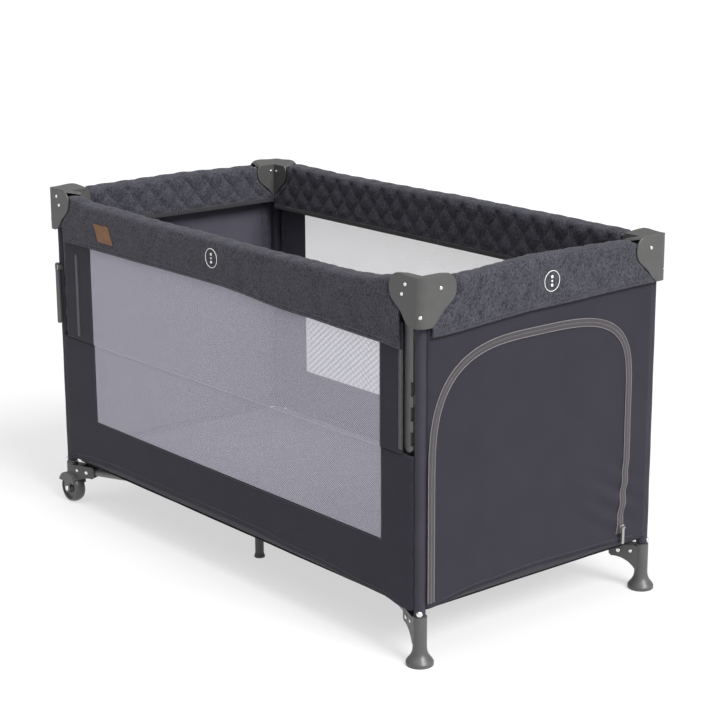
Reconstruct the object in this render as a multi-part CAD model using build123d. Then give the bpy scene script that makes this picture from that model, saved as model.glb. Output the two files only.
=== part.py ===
"""Travel play yard with a drop side, a zipped door end and two transport wheels.

Frame: millimetres, origin on the floor under the middle of the yard. +X runs along the
length towards the zipped door end, -Y is the drop side (front), +Z is up.
A corner is named from the front side: right is +X and left is -X.
"""

from build123d import *
from math import atan2, degrees, hypot
import os

# ---- driving dimensions -------------------------------------------------------------
POST_X = 612.0  # corner post axes, half spacing along the length
POST_Y = 301.0  # corner post axes, half spacing across the width
POST_RADIUS = 9.5
POST_BOTTOM = 78.0
POST_TOP = 728.0
TUBE_WALL = 1.3
CLEARANCE = 0.3  # between neighbouring pieces of different bodies
PIN_RADIUS = 3.0
PIN_FIT = 0.05  # radial clearance of a running pin
OPEN_FIT = 0.6  # radial clearance at the pivots where a linkage loop is left open

# top castings
SKIN = 3.0
CASTING_TOP = 742.0
CASTING_DIP = 739.5  # top of a casting right at its corner, between the two lobes
CASTING_FALL = 0.22  # slope of a wing's top, down towards the inside
CASTING_ROOF = 5.0  # how far the pocket stays below the top
CASTING_CORNER = 17.0  # plan radius of the outer corner
CASTING_ROUND = 2.5  # edge rounding of the outline
CASTING_LOW = 647.0
CASTING_OUT = 22.0  # outer faces, outside the post axis
CASTING_IN = 18.0  # inner faces, inside the post axis
LONG_WING = 64.0
SHORT_WING = 66.0
CORNER_RIVET_Z = 668.0  # rivet on the rounded outer corner
CORNER_SEAT = 23.4  # its flat seat, along the diagonal from the post axis
SOCKET_RADIUS = 13.0

# rails
RAIL_RADIUS = 9.0
RAIL_END = 7.0  # tube left beyond each of its pivots
RAIL_HEIGHT = {"front": 700.0, "back": 717.0, "left": 720.0, "right": 720.0}
LONG_PIVOT = 51.0  # rail pivot, inward from the post axis along X
SHORT_PIVOT = 42.0  # rail pivot, inward from the post axis along Y
LONG_LATCH = 40.0  # latch pivots, each side of the middle of a long rail
SHORT_LATCH = 28.0
LATCH_CHEEK = 9.3  # inner face of a latch cheek, from the rail axis
LATCH_SKIN = 2.0
BUTTON_RADIUS = 7.5

# floor frame
FLOOR_HEIGHT = 78.0  # axis of the floor tubes
FLOOR_RADIUS = 8.5
FOOT_REACH = 46.0  # floor tube pivot, from the post axis
EAR_GAP = 8.8  # inner face of a clevis ear, from the tube axis
EAR_SKIN = 4.0
ARM_LENGTH = 66.0
FOOT_RADIUS = 26.5
NECK_RADIUS = 13.5
BRACKET_TOP = 92.0
SOCKET_TOP = 96.0
WHEEL_RADIUS = 34.0
WHEEL_HALF_WIDTH = 13.0
WHEEL_OUT = 1.0  # wheel axle, outward from the post axis
AXLE_RADIUS = 4.0

# middle legs, which fold under the hub
LEG_X = 35.0
LEG_Y = 191.0
LEG_HINGE_Y = 85.0
LEG_RADIUS = 9.3

# drop side
LEVER_PIN = (-17.5, 560.0)  # pin of the release lever: y in corner axes, and height
LEVER_PIN_RADIUS = 1.5
GUIDE_NEAR = 13.2  # guide strip, from the post axis
GUIDE_FAR = 36.0
GUIDE_BOTTOM = 409.0
GUIDE_TOP = 708.0
SLOT_PITCH = 47.0
SLOT_LOW = 434.5  # middle of the lowest slot

# soft goods
PANEL_OUT = 14.5  # outer face of the side panels, outside the post axis
PANEL_SKIN = 2.0
PANEL_BOTTOM = 121.0
PANEL_TOP = 698.0
COVER_SKIN = 5.0
COVER_OUT = 21.0
COVER_IN = 18.0
COVER_BOTTOM = {"front": 625.0, "back": 625.0, "left": 641.0, "right": 641.0}
MATTRESS_SIZE = (1180.0, 560.0)
MATTRESS_BOTTOM = 99.4
MATTRESS_TOP = 137.0
ZIP_PIN = (634.6, 219.0, 154.0)  # pin of the door zip's pull
ZIP_PIN_RADIUS = 1.0
CLOTH_SIZE = (1196.0, 574.0)
CLOTH_BOTTOM = 97.0
CLOTH_TOP = 99.0

# ---- worked out from them -----------------------------------------------------------
# Every folding bar of one direction has the same length, so one angle folds them all.
LONG_BAR = POST_X - LONG_PIVOT - LONG_LATCH
SHORT_BAR = POST_Y - SHORT_PIVOT - SHORT_LATCH
FLOOR_BAR = hypot(LONG_BAR, SHORT_BAR)
ALONG = (LONG_BAR / FLOOR_BAR, SHORT_BAR / FLOOR_BAR)
FLOOR_ANGLE = degrees(atan2(SHORT_BAR, LONG_BAR))
HUB_X = POST_X - FOOT_REACH * ALONG[0] - LONG_BAR
HUB_Y = POST_Y - FOOT_REACH * ALONG[1] - SHORT_BAR
EAR_OUT = EAR_GAP + EAR_SKIN

CORNERS = {
    "front_right": (1, -1),
    "front_left": (-1, -1),
    "back_right": (1, 1),
    "back_left": (-1, 1),
}
SIDES = {
    "front": ((1, 0), (0, -1)),  # side: direction along its rail, direction outward
    "back": ((1, 0), (0, 1)),
    "right": ((0, 1), (1, 0)),
    "left": ((0, 1), (-1, 0)),
}


# ---- helpers --------------------------------------------------------------------------
def block(x0, x1, y0, y1, z0, z1):
    """A box from its two corners."""
    middle = Pos((x0 + x1) / 2, (y0 + y1) / 2, (z0 + z1) / 2)
    return middle * Box(x1 - x0, y1 - y0, z1 - z0)


def rod(start, direction, length, radius):
    """A cylinder that starts at a point and runs along a direction."""
    plane = Plane(origin=start, z_dir=direction)
    return plane * Cylinder(radius, length, align=(Align.CENTER, Align.CENTER, Align.MIN))


def rivet_head(centre, direction, radius=4.5, height=2.0):
    """A low domed head that stands on a face."""
    head = rod(centre, direction, height, radius)
    far_edge = head.edges().filter_by(GeomType.CIRCLE).sort_by(Axis(centre, direction))[-1]
    return fillet(far_edge, height * 0.8)


def at_corner(shape, corner):
    """Moves a shape from corner axes (x and y inward from the post) to its corner."""
    sign_x, sign_y = CORNERS[corner]
    if sign_x > 0:
        shape = mirror(shape, about=Plane.YZ)
    if sign_y > 0:
        shape = mirror(shape, about=Plane.XZ)
    return Pos(sign_x * POST_X, sign_y * POST_Y, 0) * shape


def on_diagonal(shape):
    """Turns a shape modelled along +X onto a floor tube's direction, in corner axes."""
    return Rot(0, 0, FLOOR_ANGLE) * shape


def side_frame(side):
    """Axes at the middle of a side: x along the rail, y inward, z up."""
    along, outward = SIDES[side]
    reach = POST_Y if along[0] else POST_X
    origin = (outward[0] * reach, outward[1] * reach, 0)
    inward = (-outward[0], -outward[1], 0)
    x_dir = (inward[1], -inward[0], 0)
    return Plane(origin=origin, x_dir=x_dir, z_dir=(0, 0, 1))


def half_length(side):
    """Half the distance between the posts of a side."""
    return POST_X if SIDES[side][0][0] else POST_Y


def save(shape, name):
    export_step(shape, f"parts/{name}.step")


# ---- corner pieces, in corner axes ------------------------------------------------------
def post():
    height = POST_TOP - POST_BOTTOM
    outer = rod((0, 0, POST_BOTTOM), (0, 0, 1), height, POST_RADIUS)
    return outer - rod((0, 0, POST_BOTTOM), (0, 0, 1), height, POST_RADIUS - TUBE_WALL)


def wing_outline(reach):
    """Side view of a casting wing: a rounded ear that narrows down to the post."""
    low = CASTING_LOW
    lobe, corner = (reach - 28, CASTING_TOP), (-CASTING_OUT, CASTING_DIP)
    outline = Polyline(corner, (-CASTING_OUT, low), (4, low))
    outline += Spline(
        (4, low),
        (reach * 0.5, low + 24),
        (reach - 5, low + 48),
        (reach, CASTING_TOP - 24),
        lobe,
        tangents=((1, 0.1), (-1, 0)),
    )
    outline += Spline(lobe, (6, CASTING_DIP + 0.6), corner, tangents=((-1, 0), (-1, 0)))
    return make_face(outline)


def above_top(plane, drop):
    """All that lies above a wing's falling top, lowered by a drop. The plane's x points inward."""
    near, far = -CASTING_OUT - 1, CASTING_IN + 1
    high = CASTING_TOP - drop + CASTING_FALL
    low = high - CASTING_FALL * (far - near)
    section = make_face(Polyline((near, high), (far, low), (far, 900), (near, 900), close=True))
    return extrude(plane * section, 200)


def wing(side_plane, cross_plane, reach):
    """Solid wing of a casting: its top falls inward, and its outline is rounded over."""
    solid = extrude(side_plane * wing_outline(reach), CASTING_OUT + CASTING_IN)
    solid -= above_top(cross_plane, 0)
    rim = [e for e in solid.edges() if e.geom_type != GeomType.LINE]
    return fillet(rim, CASTING_ROUND)


def rounded_plan(wall, radius):
    """Tall block over a casting with its outer corner rounded, a wall's thickness inside."""
    out, far = wall - CASTING_OUT, 90
    plan = block(out, far, out, far, 500, 800)
    return fillet(plan.edges().filter_by(Axis.Z).sort_by(Axis((0, 0, 0), (1, 1, 0)))[0], radius)


def casting():
    """Hollow top casting: a socket on the post and a wing over each rail end."""
    side_view = Plane(origin=(0, CASTING_IN, 0), x_dir=(1, 0, 0), z_dir=(0, -1, 0))
    end_view = Plane(origin=(-CASTING_OUT, 0, 0), x_dir=(0, 1, 0), z_dir=(1, 0, 0))
    across_long = Plane(origin=(-60, 0, 0), x_dir=(0, 1, 0), z_dir=(1, 0, 0))
    across_short = Plane(origin=(0, 140, 0), x_dir=(1, 0, 0), z_dir=(0, -1, 0))
    shell = wing(side_view, across_long, LONG_WING) + wing(end_view, across_short, SHORT_WING)
    shell &= rounded_plan(0, CASTING_CORNER)
    low, inside = CASTING_LOW - 1, CASTING_IN + 1
    taper = make_face(Polyline((5, low), (inside, low), (inside, low + 9), close=True))
    shell -= extrude(across_long * taper, 200)
    shell -= extrude(across_short * taper, 200)
    out, inner = CASTING_OUT - SKIN, CASTING_IN - SKIN
    pocket = block(-out, LONG_WING + 9, -out, inner, 600, 750) - above_top(across_long, CASTING_ROOF)
    pocket += block(-out, inner, -out, SHORT_WING + 9, 600, 750) - above_top(across_short, CASTING_ROOF)
    shell -= pocket & rounded_plan(SKIN, CASTING_CORNER - SKIN)
    roof = POST_TOP + 3
    socket = rod((0, 0, CASTING_LOW + 3), (0, 0, 1), roof - CASTING_LOW - 3, SOCKET_RADIUS)
    socket += Rot(0, 0, 45) * block(0, 20, -1.5, 1.5, CASTING_LOW + 30, roof)
    socket += Rot(0, 0, 225) * block(0, 22, -1.5, 1.5, CASTING_LOW + 30, roof + 3)
    shell += socket
    shell -= Rot(0, 0, 225) * rod((CORNER_SEAT, 0, CORNER_RIVET_Z), (1, 0, 0), 5, 4.4)
    return shell - rod((0, 0, 600), (0, 0, 1), POST_TOP - 600, POST_RADIUS)


def foot_arm():
    """Arm that holds the floor tube, along the diagonal: two ears and a web under them."""
    low = FLOOR_HEIGHT - 11.5
    side = Polyline(
        (0, BRACKET_TOP),
        (ARM_LENGTH - 5, BRACKET_TOP),
        (ARM_LENGTH, BRACKET_TOP - 5),
        (ARM_LENGTH, FLOOR_HEIGHT - 9),
        (ARM_LENGTH - 5, FLOOR_HEIGHT - 14),
    )
    side += ThreePointArc(
        (ARM_LENGTH - 5, FLOOR_HEIGHT - 14), (26, 57), (8, 40)
    )
    side += Polyline((8, 40), (0, 40), (0, BRACKET_TOP))
    view = Plane(origin=(0, EAR_OUT, 0), x_dir=(1, 0, 0), z_dir=(0, -1, 0))
    arm = extrude(view * make_face(side), 2 * EAR_OUT)
    arm -= block(FOOT_REACH - 11.6, ARM_LENGTH + 5, -EAR_GAP, EAR_GAP, low, 110)
    pivot = rod((FOOT_REACH, -EAR_OUT - 1, FLOOR_HEIGHT), (0, 1, 0), 2 * EAR_OUT + 2, PIN_RADIUS)
    return arm - pivot


def foot_bracket():
    """Door-end bracket: post socket, floor-tube arm and a flared foot in one moulding."""
    flare = Polyline((0, 0), (FOOT_RADIUS - 1, 0), (FOOT_RADIUS, 1), (FOOT_RADIUS, 7))
    flare += Spline(
        (FOOT_RADIUS, 7), (NECK_RADIUS + 4, 20), (NECK_RADIUS, 38), tangents=((-0.5, 1), (0, 1))
    )
    flare += Polyline((NECK_RADIUS, 38), (NECK_RADIUS, SOCKET_TOP), (0, SOCKET_TOP), (0, 0))
    body = revolve(Plane.XZ * make_face(flare), Axis.Z)
    body += on_diagonal(foot_arm())
    return body - rod((0, 0, POST_BOTTOM), (0, 0, 1), 60, POST_RADIUS)


def wheel_bracket():
    """Wheel-end bracket: post socket, floor-tube arm and a fork with a short fender."""
    inner, outer = WHEEL_HALF_WIDTH + 0.6, WHEEL_HALF_WIDTH + 4.5
    axle = (-WHEEL_OUT, -outer, WHEEL_RADIUS)
    fender = rod(axle, (0, 1, 0), 2 * outer, WHEEL_RADIUS + 4)
    fender &= block(-60, 26, -30, 30, WHEEL_RADIUS + 14, 120)
    cheek = rod(axle, (0, 1, 0), 2 * outer, 11)
    cheek += block(-12 - WHEEL_OUT, 10, -outer, outer, WHEEL_RADIUS, WHEEL_RADIUS + 20)
    body = fender + cheek
    body += rod((0, 0, WHEEL_RADIUS + 30), (0, 0, 1), SOCKET_TOP - WHEEL_RADIUS - 30, NECK_RADIUS)
    body += on_diagonal(foot_arm())
    well_start = (-WHEEL_OUT, -inner, WHEEL_RADIUS)
    body -= rod(well_start, (0, 1, 0), 2 * inner, WHEEL_RADIUS + 1.5)
    body -= rod((axle[0], -40, WHEEL_RADIUS), (0, 1, 0), 80, AXLE_RADIUS)
    body -= rod((0, 0, POST_BOTTOM), (0, 0, 1), 60, POST_RADIUS)
    return body.solids().sort_by(SortBy.VOLUME)[-1]


def wheel():
    """Transport wheel with a rounded tread and a dished face, bored for its axle."""
    half, radius = WHEEL_HALF_WIDTH, WHEEL_RADIUS
    bore = AXLE_RADIUS + PIN_FIT
    outline = Polyline((bore, -half), (11, -half), (13, 5 - half), (25, 5 - half), (27, -half))
    outline += Line((27, -half), (radius - 4, -half))
    outline += ThreePointArc((radius - 4, -half), (radius, 0), (radius - 4, half))
    outline += Polyline(
        (radius - 4, half), (27, half), (25, half - 5), (13, half - 5), (11, half), (bore, half)
    )
    outline += Line((bore, half), (bore, -half))
    disc = revolve(Plane.XY * make_face(outline), Axis.Y)
    return Pos(-WHEEL_OUT, 0, WHEEL_RADIUS) * disc


def corner_fasteners(corner):
    """Rivets, pins, snap stud and axle of one corner, each a solid of its own."""
    drop_corner = corner.startswith("front")
    heads = [
        ((18, -CASTING_OUT, 724), (0, -1, 0)),
        ((27, -CASTING_OUT, 705), (0, -1, 0)),
        ((-CASTING_OUT, 27, 717), (-1, 0, 0)),
        ((27, CASTING_IN, 717), (0, 1, 0)),
        ((CASTING_IN, 27, 717), (1, 0, 0)),
    ]
    pieces = [rivet_head(centre, direction, 3.6, 1.8) for centre, direction in heads]
    pieces.append(Rot(0, 0, 225) * rivet_head((CORNER_SEAT, 0, CORNER_RIVET_Z), (1, 0, 0), 3.6, 1.8))
    out, inner = CASTING_OUT - SKIN, CASTING_IN - SKIN
    pieces.append(rod((-out, SHORT_PIVOT, RAIL_HEIGHT["right"]), (1, 0, 0), out + inner, PIN_RADIUS))
    if not drop_corner:
        start = (LONG_PIVOT, -out, RAIL_HEIGHT["back"])
        pieces.append(rod(start, (0, 1, 0), out + inner, PIN_RADIUS))
    pieces.append(Rot(0, 0, 225) * rivet_head((POST_RADIUS, 0, 103), (1, 0, 0), 6.0, 4.5))
    pin = rod((FOOT_REACH, -EAR_OUT, FLOOR_HEIGHT), (0, 1, 0), 2 * EAR_OUT, PIN_RADIUS)
    pin += rivet_head((FOOT_REACH, -EAR_OUT, FLOOR_HEIGHT), (0, -1, 0))
    pin += rivet_head((FOOT_REACH, EAR_OUT, FLOOR_HEIGHT), (0, 1, 0))
    pieces.append(on_diagonal(pin))
    for sign in (-1, 1):
        head = rivet_head((20, sign * EAR_OUT, FLOOR_HEIGHT + 2), (0, sign, 0), 3.6, 1.6)
        pieces.append(on_diagonal(head))
    if corner == "front_left":
        pieces.append(lever_clevis())
    if corner.endswith("left"):
        half = WHEEL_HALF_WIDTH + 4.5
        axle = rod((-WHEEL_OUT, -half, WHEEL_RADIUS), (0, 1, 0), 2 * half, AXLE_RADIUS)
        axle += rivet_head((-WHEEL_OUT, -half, WHEEL_RADIUS), (0, -1, 0), 6.0, 2.0)
        axle += rivet_head((-WHEEL_OUT, half, WHEEL_RADIUS), (0, 1, 0), 6.0, 2.0)
        pieces.append(axle)
    return pieces


def guide_strip():
    """Slotted strip beside a front post: an open channel with three height slots."""
    strip = block(GUIDE_NEAR, GUIDE_FAR, -7, 7, GUIDE_BOTTOM, GUIDE_TOP)
    strip -= block(21, GUIDE_FAR + 1, -4.5, 4.5, GUIDE_BOTTOM + 12, GUIDE_TOP + 1)
    for level in range(3):
        middle = SLOT_LOW + level * SLOT_PITCH
        strip -= block(GUIDE_NEAR - 1, GUIDE_NEAR + 6.5, -8, 8, middle - 13.5, middle + 13.5)
    strip = chamfer(strip.edges().filter_by(Axis.Y).group_by(Axis.Z)[0], 7)
    for low in (GUIDE_BOTTOM + 92, GUIDE_TOP - 90):
        strip += block(POST_RADIUS - 3, GUIDE_NEAR, -4, 4, low, low + 18)
    return strip - rod((0, 0, GUIDE_BOTTOM), (0, 0, 1), 400, POST_RADIUS)


def carriage():
    """Rail carrier that runs in the guide channel: tongue, back wall and two cheeks."""
    height = RAIL_HEIGHT["front"]
    cheek = RAIL_RADIUS + CLEARANCE
    body = block(GUIDE_FAR + 0.4, GUIDE_FAR + 3, -cheek - 2.2, cheek + 2.2, height - 14, height + 12)
    body += block(GUIDE_FAR + 0.4, 63, -cheek - 2.2, -cheek, height - 14, height + 12)
    body += block(GUIDE_FAR + 0.4, 63, cheek, cheek + 2.2, height - 14, height + 12)
    body += block(21.5, GUIDE_FAR + 2, -4, 4, height - 38, height + 6)
    return body + rod((LONG_PIVOT, -cheek - 1, height), (0, 1, 0), 2 * cheek + 2, PIN_RADIUS)


def release_lever():
    """Slim lever in front of the left front post that frees the drop side."""
    lever = block(-5, 5, -CASTING_OUT, -POST_RADIUS - 3.4, 430, 570)
    lever = fillet(lever.edges().filter_by(Axis.X), 3)
    grip = lever.edges().filter_by(Axis.Y).group_by(Axis.Z)
    lever = fillet(grip[0], 4)
    return lever - rod((-9, *LEVER_PIN), (1, 0, 0), 18, LEVER_PIN_RADIUS + PIN_FIT)


def lever_clevis():
    """Clevis on the left front post that carries the release lever, with its pin."""
    y, level = LEVER_PIN
    clevis = rod((-7, y, level), (1, 0, 0), 14, LEVER_PIN_RADIUS)
    for sign in (-1, 1):
        x0, x1 = sorted((sign * 5.4, sign * 7.2))
        clevis += block(x0, x1, y - 3, -5, level - 5, level + 5)
    return clevis - rod((0, 0, level - 10), (0, 0, 1), 20, POST_RADIUS)


# ---- floor frame ------------------------------------------------------------------------
def floor_tube():
    """Tube from a corner bracket to the hub, in corner axes."""
    start, length = FOOT_REACH - RAIL_END, FLOOR_BAR + 2 * RAIL_END
    tube = rod((start, 0, FLOOR_HEIGHT), (1, 0, 0), length, FLOOR_RADIUS)
    tube -= rod((start, 0, FLOOR_HEIGHT), (1, 0, 0), length, FLOOR_RADIUS - TUBE_WALL)
    for reach in (FOOT_REACH, FOOT_REACH + FLOOR_BAR):
        centre = (reach, -20, FLOOR_HEIGHT)
        tube -= rod(centre, (0, 1, 0), 40, PIN_RADIUS + PIN_FIT)
    return on_diagonal(tube)


def hub_ears():
    """Clevis of one floor tube, with its pin, in corner axes."""
    far = FOOT_REACH + FLOOR_BAR
    z0, z1 = FLOOR_HEIGHT - 10, FLOOR_HEIGHT + 12.5
    ears = Part()
    for sign in (-1, 1):
        y0, y1 = sorted((sign * EAR_GAP, sign * EAR_OUT))
        ear = block(far - 11, far + 34, y0, y1, z0, z1)
        tip = ear.edges().filter_by(Axis.Y).group_by(Axis.X)[0]
        ears += fillet(tip, 7)
    ears += rod((far, -EAR_OUT, FLOOR_HEIGHT), (0, 1, 0), 2 * EAR_OUT, PIN_RADIUS)
    return on_diagonal(ears)


def leg_ears(side):
    """Clevis of one middle leg, with its pin. side is -1 for the front leg."""
    x, y = side * LEG_X, side * LEG_HINGE_Y
    block_edge, tip = side * 60, side * (LEG_HINGE_Y + 8)
    low_y, high_y = sorted((block_edge, side * 73.5))
    ears = block(x - 12.3, x + 12.3, low_y, high_y, FLOOR_HEIGHT - 10, FLOOR_HEIGHT + 12.5)
    low_y, high_y = sorted((block_edge, tip))
    for sign in (-1, 1):
        x0, x1 = sorted((x + sign * 8.3, x + sign * 12.3))
        ears += block(x0, x1, low_y, high_y, FLOOR_HEIGHT - 10, FLOOR_HEIGHT + 12.5)
    return ears + rod((x - 12, y, FLOOR_HEIGHT), (1, 0, 0), 24, PIN_RADIUS)


def hub_base():
    """Hub moulding: a core with a clevis for each floor tube and each middle leg."""
    core = block(-33, 33, -66, 66, FLOOR_HEIGHT - 14, FLOOR_HEIGHT + 12.5)
    core = fillet(core.edges().filter_by(Axis.Z), 6)
    for corner in CORNERS:
        core += at_corner(hub_ears(), corner)
    for side in (-1, 1):
        core += leg_ears(side)
    return core


def hub_cap():
    """Cover plate on the hub, with a slot for the lifting strap."""
    z0 = FLOOR_HEIGHT + 12.5
    plate = block(-64, 64, -96, 96, z0, 95.5)
    plate = fillet(plate.edges().filter_by(Axis.Z), 24)
    plate = fillet(plate.faces().sort_by(Axis.Z)[-1].edges(), 1.5)
    for x in (-26, 26):
        plate -= block(x - 3, x + 3, -18, 18, z0 - 1, 97)
    return plate


def middle_leg(side):
    """Moulded arm and leg under the middle of a long side. side is -1 at the front."""
    x, tip = side * LEG_X, side * LEG_Y
    low_y, high_y = sorted((side * (LEG_HINGE_Y - RAIL_END), tip))
    arm = block(x - 8, x + 8, low_y, high_y, FLOOR_HEIGHT - 7, FLOOR_HEIGHT + 7)
    arm += block(x - 30, x + 30, tip - 11, tip + 11, FLOOR_HEIGHT - 8, FLOOR_HEIGHT + 8)
    outline = Polyline((0, 0), (11.5, 0), (11.5, 3), (LEG_RADIUS, 10), (LEG_RADIUS, 72))
    outline += Polyline((LEG_RADIUS, 72), (0, 72), (0, 0))
    arm += Pos(x, tip, 0) * revolve(Plane.XZ * make_face(outline), Axis.Z)
    centre = (x - 20, side * LEG_HINGE_Y, FLOOR_HEIGHT)
    return arm - rod(centre, (1, 0, 0), 40, PIN_RADIUS + PIN_FIT)


# ---- rails, in side axes (x along the rail, y inward) --------------------------------------
def half_rail(side, sign, open_pivot):
    """Half of a top rail, from its corner to the latch. sign is the half's x direction."""
    long_side = side in ("front", "back")
    outer = half_length(side) - (LONG_PIVOT if long_side else SHORT_PIVOT)
    inner = LONG_LATCH if long_side else SHORT_LATCH
    height = RAIL_HEIGHT[side]
    start, length = inner - RAIL_END, outer - inner + 2 * RAIL_END
    tube = rod((sign * start, 0, height), (sign, 0, 0), length, RAIL_RADIUS)
    tube -= rod((sign * start, 0, height), (sign, 0, 0), length, RAIL_RADIUS - TUBE_WALL)
    tube -= rod((sign * outer, -20, height), (0, 1, 0), 40, PIN_RADIUS + PIN_FIT)
    inner_fit = OPEN_FIT if open_pivot else PIN_FIT
    return tube - rod((sign * inner, -20, height), (0, 1, 0), 40, PIN_RADIUS + inner_fit)


def latch(side):
    """Centre latch: an open-topped channel that both half rails pivot in."""
    pivot = LONG_LATCH if side in ("front", "back") else SHORT_LATCH
    height, half = RAIL_HEIGHT[side], pivot + 10
    cheek, core = LATCH_CHEEK + LATCH_SKIN, pivot - 13
    body = block(-half, half, -cheek, cheek, height - 15.5, height - 13)
    for sign in (-1, 1):
        y0, y1 = sorted((sign * LATCH_CHEEK, sign * cheek))
        body += block(-half, half, y0, y1, height - 15.5, height + 10)
    body += block(-core, core, -LATCH_CHEEK, LATCH_CHEEK, height - 14, height + 8)
    corners = body.edges().filter_by(Axis.Y).group_by(Axis.Z)[-1]
    body = fillet([e for e in corners if abs(e.center().X) > half - 1], 6)
    for sign in (-1, 1):
        body += rod((sign * pivot, -cheek + 1, height), (0, 1, 0), 2 * cheek - 2, PIN_RADIUS)
    return body - rod((0, 0, height - 20), (0, 0, 1), 18, BUTTON_RADIUS + CLEARANCE)


def latch_button(side):
    """Push button in the underside of a centre latch."""
    button = rod((0, 0, RAIL_HEIGHT[side] - 20), (0, 0, 1), 12, BUTTON_RADIUS)
    return fillet(button.edges().sort_by(Axis.Z)[0], 1.5)


# ---- soft goods -----------------------------------------------------------------------------
def cover(side):
    """Padded rail cover: an upside-down channel over the rail, in side axes."""
    reach = half_length(side) - (LONG_WING if side in ("front", "back") else SHORT_WING) - 2
    top = RAIL_HEIGHT[side] + 18
    body = block(-reach, reach, -COVER_OUT, COVER_IN, COVER_BOTTOM[side], top)
    body = fillet(body.edges().filter_by(Axis.X).group_by(Axis.Z)[-1], 9)
    hollow = (-COVER_OUT + COVER_SKIN, COVER_IN - COVER_SKIN)
    return body - block(-reach - 1, reach + 1, *hollow, COVER_BOTTOM[side] - 1, top - COVER_SKIN)


def panel(side):
    """Side panel, in side axes: full width below the castings, narrower between them."""
    reach = half_length(side) - 1
    upper = half_length(side) - 28
    if side == "front":
        reach = upper = half_length(side) - GUIDE_FAR - 2
    out, inner = -PANEL_OUT, -PANEL_OUT + PANEL_SKIN
    body = block(-reach, reach, out, inner, PANEL_BOTTOM, CASTING_LOW - 8)
    return body + block(-upper, upper, out, inner, CASTING_LOW - 8, PANEL_TOP)


def floor_cloth():
    half_x, half_y = CLOTH_SIZE[0] / 2, CLOTH_SIZE[1] / 2
    return block(-half_x, half_x, -half_y, half_y, CLOTH_BOTTOM, CLOTH_TOP)


def mattress():
    half_x, half_y = MATTRESS_SIZE[0] / 2, MATTRESS_SIZE[1] / 2
    pad = block(-half_x, half_x, -half_y, half_y, MATTRESS_BOTTOM, MATTRESS_TOP)
    return fillet(pad.edges().filter_by(Axis.Z), 28)


def zip_slider():
    """Slider on the straight leg of the door zip, with the pin of its pull."""
    face = ZIP_PIN[0] - 7.6
    middle, level = ZIP_PIN[1], ZIP_PIN[2]
    body = block(face, face + 5, middle - 6, middle + 6, level - 12, level + 6)
    body = fillet(body.edges().filter_by(Axis.X), 3)
    for sign in (-1, 1):
        y0, y1 = sorted((middle + sign * 3.6, middle + sign * 5.2))
        body += block(face + 4, face + 9, y0, y1, level - 1.6, level + 1.6)
    return body + rod((ZIP_PIN[0], middle - 4, level), (0, 1, 0), 8, ZIP_PIN_RADIUS)


def zip_pull():
    """Pull tab that hangs from the slider's pin by an eye."""
    middle, level = ZIP_PIN[1], ZIP_PIN[2]
    eye = rod((ZIP_PIN[0], middle - 3.2, level), (0, 1, 0), 6.4, 2.2)
    tab = block(ZIP_PIN[0] - 0.8, ZIP_PIN[0] + 0.8, middle - 3.2, middle + 3.2, level - 34, level)
    tab = fillet(tab.edges().filter_by(Axis.X).group_by(Axis.Z)[0], 3)
    bore = rod((ZIP_PIN[0], middle - 10, level), (0, 1, 0), 20, ZIP_PIN_RADIUS + 0.2)
    return eye + tab - bore


# ---- write every piece -----------------------------------------------------------------------
def main():
    os.makedirs("parts", exist_ok=True)
    for corner in CORNERS:
        wheeled = corner.endswith("left")
        bracket = wheel_bracket() if wheeled else foot_bracket()
        save(at_corner(post(), corner), f"post_{corner}")
        save(at_corner(casting(), corner), f"casting_{corner}")
        save(at_corner(bracket, corner), f"bracket_{corner}")
        save(at_corner(floor_tube(), corner), f"floor_tube_{corner}")
        fasteners = [at_corner(piece, corner) for piece in corner_fasteners(corner)]
        save(Compound(children=fasteners), f"fasteners_{corner}")
        if wheeled:
            save(at_corner(wheel(), corner), f"wheel_{corner}")
        if corner.startswith("front"):
            save(at_corner(guide_strip(), corner), f"guide_{corner}")
            save(at_corner(carriage(), corner), f"carriage_{corner}")
    save(at_corner(release_lever(), "front_left"), "release_lever")
    save(hub_base(), "hub_base")
    save(hub_cap(), "hub_cap")
    save(middle_leg(-1), "middle_leg_front")
    save(middle_leg(1), "middle_leg_back")
    for side in SIDES:
        frame = side_frame(side)
        for name, sign in side_halves(side):
            open_pivot = name in ("left", "back")
            save(frame * half_rail(side, sign, open_pivot), f"rail_{side}_{name}")
        save(frame * latch(side), f"latch_{side}")
        save(frame * latch_button(side), f"latch_button_{side}")
        save(frame * cover(side), f"cover_{side}")
        save(frame * panel(side), f"panel_{side}")
    save(floor_cloth(), "floor_cloth")
    save(mattress(), "mattress")
    save(zip_slider(), "zip_slider")
    save(zip_pull(), "zip_pull")


def side_halves(side):
    """Name and local x direction of the two halves of a rail."""
    if side == "front":
        return (("right", 1), ("left", -1))
    if side == "back":
        return (("right", -1), ("left", 1))
    if side == "right":
        return (("front", -1), ("back", 1))
    return (("front", 1), ("back", -1))


main()
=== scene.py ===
"""Looks of a travel play yard, built round its CAD frame.

Metres, +Z up. The drop side is at -Y and the zipped door end at +X. A point of a side panel or rail
cover is given in side axes: x along the side, y inward from the line of the posts, z up.
"""

import math

import bmesh
import bpy
import numpy as np
from mathutils import Matrix, Vector


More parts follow.
